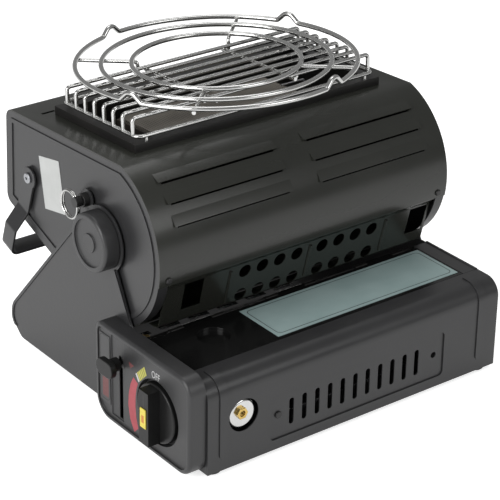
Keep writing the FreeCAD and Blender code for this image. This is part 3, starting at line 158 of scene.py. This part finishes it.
def finish(name, colour, second, roughness, patch, grain=(900.0, 60.0, 0.3), bump=0.05, depth=0.0002,
           metallic=0.0, specular=0.5):
    """A material with cloudy variation between two tones and two gloss levels, and a fine grain."""
    material = bpy.data.materials.new(name)
    material.use_nodes = True
    tree = material.node_tree
    shader = tree.nodes["Principled BSDF"]
    shader.inputs["Metallic"].default_value = metallic
    shader.inputs["Specular IOR Level"].default_value = specular
    wear = tree.nodes.new("ShaderNodeGroup")
    wear.node_tree = WEAR
    wear.inputs["Colour"].default_value = (*colour, 1.0)
    wear.inputs["Second Colour"].default_value = (*second, 1.0)
    wear.inputs["Patch Scale"].default_value = patch
    wear.inputs["Roughness Low"].default_value = roughness[0]
    wear.inputs["Roughness High"].default_value = roughness[1]
    tree.links.new(wear.outputs["Colour"], shader.inputs["Base Color"])
    tree.links.new(wear.outputs["Roughness"], shader.inputs["Roughness"])
    texture = tree.nodes.new("ShaderNodeGroup")
    texture.node_tree = GRAIN
    texture.inputs["Fine Scale"].default_value = grain[0]
    texture.inputs["Broad Scale"].default_value = grain[1]
    texture.inputs["Broad Share"].default_value = grain[2]
    relief = tree.nodes.new("ShaderNodeBump")
    relief.inputs["Strength"].default_value = bump
    relief.inputs["Distance"].default_value = depth
    tree.links.new(texture.outputs["Height"], relief.inputs["Height"])
    tree.links.new(relief.outputs["Normal"], shader.inputs["Normal"])
    return material


enamel = finish("black_enamel", (0.020, 0.020, 0.021), (0.026, 0.026, 0.027), (0.27, 0.36), 9.0,
                (1100.0, 260.0, 0.6), 0.22, 0.0003)
dark_enamel = finish("drum_enamel", (0.016, 0.017, 0.014), (0.022, 0.023, 0.019), (0.20, 0.28), 7.0,
                     (1100.0, 260.0, 0.6), 0.15, 0.0003)
# Black gloss paint of the lid, set darker than the other black paint: painted shade, for the dark underside
# of the drum that the lid mirrors.
lid_enamel_painted_shade = finish("lid_enamel_painted_shade", (0.005, 0.005, 0.005), (0.008, 0.008, 0.008), (0.14, 0.21), 7.0,
                    (1100.0, 260.0, 0.6), 0.12, 0.0003, specular=0.4)
# Near-black enamel for the window tray and the heat shield, darker than the other black paint: painted shade,
# for the dark shadow these parts lie in.
painted_shade_enamel = finish("tray_enamel", (0.006, 0.006, 0.006), (0.012, 0.011, 0.010), (0.30, 0.42), 22.0,
               (900.0, 200.0, 0.5), 0.3, 0.0003, specular=0.35)
chrome = finish("bright_chrome", (0.62, 0.62, 0.61), (0.52, 0.52, 0.51), (0.14, 0.26), 30.0,
                (1500.0, 200.0, 0.5), 0.08, 0.0001, metallic=1.0)
plated = finish("zinc_plate", (0.46, 0.46, 0.47), (0.36, 0.37, 0.39), (0.25, 0.42), 60.0,
                (1500.0, 300.0, 0.4), 0.12, 0.0002, metallic=1.0)
blackened = finish("blackened_steel", (0.030, 0.030, 0.031), (0.045, 0.044, 0.043), (0.30, 0.45), 60.0,
                   (1500.0, 300.0, 0.4), 0.15, 0.0002, metallic=0.6)
brass = finish("turned_brass", (0.66, 0.46, 0.15), (0.52, 0.36, 0.11), (0.20, 0.34), 90.0,
               (1800.0, 300.0, 0.4), 0.1, 0.0002, metallic=1.0)
moulded = finish("moulded_plastic", (0.026, 0.026, 0.027), (0.034, 0.034, 0.035), (0.34, 0.44), 20.0,
                 (2400.0, 700.0, 0.4), 0.35, 0.0002)
knob_plastic = finish("knob_plastic", (0.006, 0.006, 0.006), (0.010, 0.010, 0.010), (0.30, 0.40), 30.0,
                      (2400.0, 700.0, 0.4), 0.12, 0.0002, specular=0.28)
pointer_yellow = finish("pointer_yellow", (0.74, 0.62, 0.09), (0.68, 0.56, 0.07), (0.35, 0.45), 80.0,
                        (2400.0, 700.0, 0.4), 0.1, 0.0001)
pointer_orange = finish("pointer_orange", (0.55, 0.20, 0.02), (0.48, 0.17, 0.02), (0.35, 0.45), 80.0,
                        (2400.0, 700.0, 0.4), 0.1, 0.0001)
label_film = finish("label_film", (0.25, 0.34, 0.335), (0.29, 0.38, 0.375), (0.38, 0.50), 40.0,
                    (3000.0, 500.0, 0.3), 0.05, 0.0001)
sticker_film = finish("sticker_film", (0.52, 0.53, 0.52), (0.46, 0.47, 0.46), (0.40, 0.50), 40.0,
                      (3000.0, 500.0, 0.3), 0.05, 0.0001)
strip_film = finish("strip_film", (0.042, 0.042, 0.043), (0.052, 0.052, 0.053), (0.38, 0.48), 40.0,
                    (3000.0, 500.0, 0.3), 0.05, 0.0001)
print_dark = finish("print_black", (0.008, 0.008, 0.008), (0.012, 0.012, 0.012), (0.40, 0.50), 80.0)
print_red = finish("scale_red", (0.40, 0.06, 0.075), (0.34, 0.05, 0.065), (0.40, 0.50), 120.0)
print_dull_red = finish("strip_red", (0.15, 0.045, 0.045), (0.12, 0.038, 0.038), (0.40, 0.50), 400.0)
print_yellow = finish("scale_yellow", (0.52, 0.50, 0.09), (0.45, 0.43, 0.07), (0.40, 0.50), 120.0)
print_white = finish("scale_white", (0.55, 0.55, 0.55), (0.48, 0.48, 0.48), (0.40, 0.50), 120.0)
casting = finish("cast_alloy", (0.42, 0.42, 0.42), (0.34, 0.34, 0.35), (0.40, 0.60), 40.0,
                 (1200.0, 300.0, 0.5), 0.5, 0.0004, metallic=1.0)
iron = finish("burner_iron", (0.045, 0.042, 0.040), (0.075, 0.060, 0.048), (0.55, 0.75), 25.0,
              (900.0, 250.0, 0.5), 0.6, 0.0005, metallic=0.4)
rubber = finish("foot_rubber", (0.014, 0.014, 0.014), (0.022, 0.022, 0.022), (0.65, 0.80), 40.0,
                (1500.0, 500.0, 0.4), 0.3, 0.0002)


def tile_material():
    """Ceramic burner tile: a dim grey-brown body, darker in cloudy patches, with rows of dark dots for the
    fine flame holes; the dots are painted shade inside the holes.
    """
    material = finish("burner_ceramic", (0.20, 0.185, 0.16), (0.11, 0.10, 0.085), (0.80, 0.92), 22.0,
                      (1500.0, 300.0, 0.4), 0.3, 0.0002)
    tree = material.node_tree
    shader = tree.nodes["Principled BSDF"]
    coordinates = tree.nodes.new("ShaderNodeTexCoord")
    cells = tree.nodes.new("ShaderNodeTexVoronoi")
    cells.inputs["Scale"].default_value = 420.0
    cells.inputs["Randomness"].default_value = 0.0
    tree.links.new(coordinates.outputs["Object"], cells.inputs["Vector"])
    # Dark dots in rows: painted shade inside the flame holes.
    hole_shade_mask = tree.nodes.new("ShaderNodeMapRange")
    hole_shade_mask.inputs["From Min"].default_value = 0.28
    hole_shade_mask.inputs["From Max"].default_value = 0.36
    tree.links.new(cells.outputs["Distance"], hole_shade_mask.inputs["Value"])
    shade = tree.nodes.new("ShaderNodeMix")
    shade.data_type = "RGBA"
    shade.inputs["A"].default_value = (0.03, 0.025, 0.02, 1.0)
    source = shader.inputs["Base Color"].links[0].from_socket
    tree.links.new(hole_shade_mask.outputs["Result"], shade.inputs["Factor"])
    tree.links.new(source, shade.inputs["B"])
    tree.links.new(shade.outputs["Result"], shader.inputs["Base Color"])
    return material


ceramic = tile_material()
paint_of = {
    "black_paint": enamel, "chrome_wire": chrome, "plated_steel": plated, "brass": brass,
    "black_plastic": moulded, "pointer_plastic": pointer_yellow, "label_film": label_film,
    "legend_film": strip_film, "casting": casting, "burner_iron": iron, "ceramic": ceramic, "rubber": rubber,
}


# Carried-over solids: a merged copy of the node with eased edges and smooth shading

MERGE = 0.000002
FLAT = math.radians(0.6)
SHARP = math.radians(32)


def finished_copy(node, material, ease):
    mesh = nodes[node].data.copy()
    work = bmesh.new()
    work.from_mesh(mesh)
    bmesh.ops.remove_doubles(work, verts=work.verts, dist=MERGE)
    bmesh.ops.dissolve_limit(work, angle_limit=FLAT, verts=work.verts, edges=work.edges)
    for face in work.faces:
        face.smooth = True
        face.material_index = 0
    for edge in work.edges:
        edge.smooth = edge.calc_face_angle(0.0) < SHARP
    work.to_mesh(mesh)
    work.free()
    mesh.materials.clear()
    mesh.materials.append(material)
    piece = bpy.data.objects.new(node + "_made", mesh)
    bpy.context.collection.objects.link(piece)
    if ease > 0:
        bevel = piece.modifiers.new("eased_edges", "BEVEL")
        bevel.width = ease
        bevel.segments = 2
        bevel.limit_method = "ANGLE"
        bevel.angle_limit = SHARP
        bevel.harden_normals = True
        bevel.use_clamp_overlap = True
    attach(piece, body_of[node])
    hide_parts(node)


EASE = {
    "side_plate_left": 0.0003, "side_plate_right": 0.0003, "front_panel": 0.0007, "floor_pan": 0.0002,
    "heat_shield": 0.0002, "cartridge_lid": 0.0003, "lid_label": 0.00008, "end_cap_left": 0.0003,
    "end_cap_right": 0.0003, "drum_shell": 0.0002, "drum_bottom": 0.0002, "air_apron": 0.0002,
    "window_tray": 0.0002, "carrying_handle": 0.0004, "control_fascia": 0.0004, "control_knob": 0.0005,
    "lock_lever": 0.0015, "legend_strip": 0.0001, "regulator_body": 0.0005, "regulator_cap": 0.0008,
    "regulator_nut": 0.0003, "pipe_union": 0.0003, "cartridge_cradle": 0.0002, "burner_body": 0.0004,
    "ceramic_tile": 0.0003, "mixer_tube": 0.0002, "gas_injector": 0.0002, "piezo_igniter": 0.0004,
    "hub_left": 0.0004, "hub_right": 0.0004, "latch_bush": 0.0003, "pivot_nuts": 0.0003,
    "pivot_washers": 0.0002, "bare_sticker": 0.00005,
}
PAINT = {
    "drum_shell": dark_enamel, "drum_bottom": dark_enamel, "air_apron": dark_enamel, "window_tray": painted_shade_enamel,
    "heat_shield": painted_shade_enamel, "cartridge_lid": lid_enamel_painted_shade, "control_knob": knob_plastic,
    "lock_lever": knob_plastic, "hub_left": moulded, "hub_right": moulded, "bare_sticker": sticker_film,
    # The lid hinge pin takes the black steel finish as painted shade: it sits in the dark at the rear of the
    # lid, under the drum.
    "lid_hinge_pin": blackened, "base_screws": blackened,
    "drum_screws": blackened, "latch_bush": blackened, "latch_pin": blackened, "handle_rivets": plated,
}
for node in nodes:
    finished_copy(node, PAINT.get(node, paint_of[slot_of[node]]), EASE.get(node, 0.0))


# Printed areas on the control cover, drawn flat and then stood on its left face

RIM_DEPTH = 0.0016
FRONT_GAP = 0.002
PRINT_THICKNESS = 0.06
MM = 0.001
cover_low = Vector(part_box("control_fascia")[0])
FIELD = cover_low.x + RIM_DEPTH
LEFTWARDS = Matrix(((0, 0, -1), (-1, 0, 0), (0, 1, 0)))


def stood_left(thing, face_x, name, material, body, laid=Matrix()):
    """Makes a flat curve or word a mesh and stands it on a face that looks to the left."""
    bpy.context.collection.objects.link(thing)
    bpy.context.view_layer.update()
    mesh = bpy.data.meshes.new_from_object(thing.evaluated_get(bpy.context.evaluated_depsgraph_get()))
    bpy.data.objects.remove(thing)
    origin = Vector((face_x, cover_low.y - FRONT_GAP, cover_low.z))
    mesh.transform(Matrix.Translation(origin) @ LEFTWARDS.to_4x4() @ Matrix.Scale(MM, 4) @ laid)
    mesh.name = name
    mesh.materials.clear()
    mesh.materials.append(material)
    piece = bpy.data.objects.new(name, mesh)
    bpy.context.collection.objects.link(piece)
    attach(piece, body)


def printed(name, outlines, material, face_x=FIELD, body="base"):
    """A printed area from outlines in millimetres along and up the cover; a second outline is a hole."""
    curve = bpy.data.curves.new(name, "CURVE")
    curve.dimensions = "2D"
    curve.fill_mode = "BOTH"
    curve.extrude = PRINT_THICKNESS / 2
    curve.resolution_u = 3
    for outline in outlines:
        spline = curve.splines.new("BEZIER")
        spline.bezier_points.add(len(outline) - 1)
        spline.use_cyclic_u = True
        for knot, (y, z) in zip(spline.bezier_points, outline):
            knot.co = (-y, z, 0.0)
            knot.handle_left_type = "VECTOR"
            knot.handle_right_type = "VECTOR"
    stood_left(bpy.data.objects.new(name, curve), face_x, name, material, body)


def rounded_corners(y0, y1, z0, z1, radius, steps=4):
    """Corners of a rectangle with short chords round each corner."""
    places = []
    for cy, cz, start in ((y1 - radius, z1 - radius, 0), (y0 + radius, z1 - radius, 90),
                          (y0 + radius, z0 + radius, 180), (y1 - radius, z0 + radius, 270)):
        for step in range(steps + 1):
            turn = math.radians(start + 90 * step / steps)
            places.append((cy + radius * math.cos(turn), cz + radius * math.sin(turn)))
    return places


def dial_prints():
    """Gas scale round the knob: a red sweep, a striped yellow patch, OFF and a lock mark."""
    middle = Vector((45.0, 37.0))
    sweep = ((-46, 44.0), (-32, 42.5), (-16, 40.0), (0, 37.5), (14, 36.0), (27, 35.0),
             (27, 28.4), (14, 28.4), (0, 28.6), (-16, 30.0), (-32, 33.0), (-46, 36.5))
    outline = []
    for turn, reach in sweep:
        way = math.radians(turn)
        outline.append((middle.x + reach * math.cos(way), middle.y + reach * math.sin(way)))
    printed("scale_sweep", [outline], print_red)
    low_inner, low_outer = Vector((69.6, 51.5)), Vector((73.6, 57.0))
    high_inner, high_outer = Vector((58.6, 62.6)), Vector((61.6, 68.6))
    for i in range(6):
        a, b = (i + 0.12) / 6, (i + 0.88) / 6
        corners = [low_inner.lerp(high_inner, a), low_outer.lerp(high_outer, a),
                   low_outer.lerp(high_outer, b), low_inner.lerp(high_inner, b)]
        paint = print_white if i == 0 else print_yellow
        printed("scale_bar_%d" % (i + 1), [[tuple(c) for c in corners]], paint)
    printed("lock_mark", [[(82.3, 63.7), (75.3, 62.8), (80.4, 58.4)]], print_dull_red)
    word = bpy.data.curves.new("off_word", "FONT")
    word.body = "OFF"
    word.size = 8.2
    word.extrude = PRINT_THICKNESS / 2
    word.resolution_u = 4
    laid = Matrix.Translation((-52.4, 64.6, 0.0)) @ Matrix.Scale(0.75, 4, (1, 0, 0))
    thing = bpy.data.objects.new("off_word", word)
    stood_left(thing, FIELD, "off_word", print_white, "base", laid)


def strip_prints():
    """Lines round the legend strip and its dull red area."""
    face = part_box("legend_strip")[0][0]
    outer = rounded_corners(107.3, 120.7, 16.0, 72.6, 4.5)
    inner = rounded_corners(108.0, 120.0, 16.7, 71.9, 3.8)
    printed("strip_border", [outer, inner], print_dark, face)
    printed("strip_red", [rounded_corners(109.3, 117.2, 19.0, 46.0, 0.8)], print_dull_red, face)


dial_prints()
strip_prints()


LABEL_MARGIN = 0.003
LABEL_CORNER = 0.004
LABEL_LINE = 0.0006
LABEL_PRINT = 0.00004


def label_border():
    """A thin rounded line inside the edge of the bare label on the lid."""
    low, high = (Vector(corner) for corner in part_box("lid_label"))
    middle = (low + high) / 2
    bm = bmesh.new()
    bmesh.ops.create_grid(bm, x_segments=1, y_segments=1, size=0.5)
    across, along = high.x - low.x - 2 * LABEL_MARGIN, high.y - low.y - 2 * LABEL_MARGIN
    bmesh.ops.scale(bm, verts=bm.verts, vec=(across, along, 1.0))
    bmesh.ops.bevel(bm, geom=bm.verts[:], offset=LABEL_CORNER, segments=5, profile=0.5, affect="VERTICES",
                    material=-1)
    ring = bmesh.ops.inset_region(bm, faces=bm.faces[:], use_boundary=True, use_even_offset=True,
                                  thickness=LABEL_LINE, depth=0.0)
    line = set(ring["faces"])
    bmesh.ops.delete(bm, geom=[face for face in bm.faces if face not in line], context="FACES")
    bmesh.ops.solidify(bm, geom=bm.faces[:], thickness=-LABEL_PRINT)
    bmesh.ops.translate(bm, verts=bm.verts, vec=(middle.x, middle.y, high.z))
    bmesh.ops.recalc_face_normals(bm, faces=bm.faces[:])
    mesh = bpy.data.meshes.new("label_border")
    bm.to_mesh(mesh)
    bm.free()
    mesh.materials.append(print_dark)
    piece = bpy.data.objects.new("label_border", mesh)
    bpy.context.collection.objects.link(piece)
    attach(piece, "lid")


label_border()


def knob_marks():
    """Orange middle of the pointer, and above it a dark flat mark that stands for the narrow slot: painted
    shade in place of a cut slot.
    """
    low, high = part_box("knob_pointer")
    y = ((low[1] + high[1]) / 2 - cover_low.y + FRONT_GAP) / MM
    z0, z1 = (low[2] - cover_low.z) / MM, (high[2] - cover_low.z) / MM
    middle = (z0 + z1) / 2 - 0.6
    printed("pointer_middle", [rounded_corners(y - 1.6, y + 1.6, middle - 3.2, middle + 3.2, 0.4)],
            pointer_orange, low[0], "knob")
    # Dark mark above the pointer: painted shade standing for the narrow slot.
    printed("grip_slot_painted_shade", [rounded_corners(y - 0.7, y + 0.7, z1 + 0.6, z1 + 11.5, 0.5)], print_dark,
            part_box("control_knob")[0][0], "knob")


knob_marks()


# Plain pale floor, plain world light and three soft lamps

FLOOR_HALF = 6.0
GLOW_REFLECTED = 0.42
GLOW_SEEN = 0.70
BASE_MIDDLE = (0.0075, 0.0, 0.0)
SHADE_EDGES = ((0.10, 0.13), (0.115, 0.145))


def math_node(tree, operation, first, second):
    node = tree.nodes.new("ShaderNodeMath")
    node.operation = operation
    tree.links.new(first, node.inputs[0])
    tree.links.new(second, node.inputs[1])
    return node.outputs[0]


def ranged(tree, source, from_range=(0.0, 1.0), to_range=(0.0, 1.0)):
    node = tree.nodes.new("ShaderNodeMapRange")
    node.inputs["From Min"].default_value = from_range[0]
    node.inputs["From Max"].default_value = from_range[1]
    node.inputs["To Min"].default_value = to_range[0]
    node.inputs["To Max"].default_value = to_range[1]
    tree.links.new(source, node.inputs["Value"])
    return node.outputs["Result"]


def clear_of_base(tree):
    """1 on the open floor, 0 under the middle of the base, where the floor lies in full shade."""
    coordinates = tree.nodes.new("ShaderNodeTexCoord")
    place = tree.nodes.new("ShaderNodeVectorMath")
    place.operation = "SUBTRACT"
    place.inputs[1].default_value = BASE_MIDDLE
    away = tree.nodes.new("ShaderNodeVectorMath")
    away.operation = "ABSOLUTE"
    split = tree.nodes.new("ShaderNodeSeparateXYZ")
    tree.links.new(coordinates.outputs["Object"], place.inputs[0])
    tree.links.new(place.outputs[0], away.inputs[0])
    tree.links.new(away.outputs[0], split.inputs[0])
    across, along = (ranged(tree, split.outputs[i], edge) for i, edge in enumerate(SHADE_EDGES))
    return math_node(tree, "MAXIMUM", across, along)


def floor_material():
    """Matt white that also glows for the camera and in reflections, as a plain white ground."""
    material = bpy.data.materials.new("floor_white")
    material.use_nodes = True
    tree = material.node_tree
    shader = tree.nodes["Principled BSDF"]
    shader.inputs["Base Color"].default_value = (0.85, 0.85, 0.85, 1.0)
    shader.inputs["Roughness"].default_value = 0.9
    light_path = tree.nodes.new("ShaderNodeLightPath")
    seen = light_path.outputs["Is Camera Ray"]
    either = math_node(tree, "MAXIMUM", seen, light_path.outputs["Is Glossy Ray"])
    level = ranged(tree, seen, to_range=(GLOW_REFLECTED, GLOW_SEEN))
    strength = math_node(tree, "MULTIPLY", math_node(tree, "MULTIPLY", either, level), clear_of_base(tree))
    glow = tree.nodes.new("ShaderNodeEmission")
    glow.inputs["Color"].default_value = (1.0, 1.0, 1.0, 1.0)
    tree.links.new(strength, glow.inputs["Strength"])
    both = tree.nodes.new("ShaderNodeAddShader")
    tree.links.new(shader.outputs[0], both.inputs[0])
    tree.links.new(glow.outputs[0], both.inputs[1])
    tree.links.new(both.outputs[0], tree.nodes["Material Output"].inputs["Surface"])
    return material


def studio():
    bm = bmesh.new()
    bmesh.ops.create_grid(bm, x_segments=1, y_segments=1, size=FLOOR_HALF)
    mesh = bpy.data.meshes.new("studio_floor")
    bm.to_mesh(mesh)
    bm.free()
    mesh.materials.append(floor_material())
    floor = bpy.data.objects.new("studio_floor", mesh)
    bpy.context.collection.objects.link(floor)


def lamp(name, place, target, size, power):
    light = bpy.data.lights.new(name, "AREA")
    light.shape = "RECTANGLE"
    light.size, light.size_y = size
    light.energy = power
    thing = bpy.data.objects.new(name, light)
    turn = (Vector(target) - Vector(place)).to_track_quat("-Z", "Y")
    thing.matrix_world = Matrix.Translation(place) @ turn.to_matrix().to_4x4()
    bpy.context.collection.objects.link(thing)


WORLD_LIGHT = 0.30


def world():
    scene = bpy.context.scene
    scene.world = bpy.data.worlds.new("studio_world")
    scene.world.use_nodes = True
    tree = scene.world.node_tree
    background = tree.nodes["Background"]
    background.inputs["Color"].default_value = (1.0, 1.0, 1.0, 1.0)
    seen = tree.nodes.new("ShaderNodeLightPath").outputs["Is Camera Ray"]
    tree.links.new(ranged(tree, seen, to_range=(WORLD_LIGHT, 1.0)), background.inputs["Strength"])
    scene.view_settings.view_transform = "Standard"


studio()
world()
lamp("left_softbox", (-1.6, -0.3, 0.9), (0.0, -0.02, 0.12), (1.0, 1.2), 25.0)
lamp("front_softbox", (0.5, -1.9, 1.2), (0.0, -0.02, 0.1), (1.2, 0.9), 11.0)
lamp("top_softbox", (0.3, 0.5, 1.9), (0.0, 0.0, 0.15), (1.2, 1.0), 9.0)
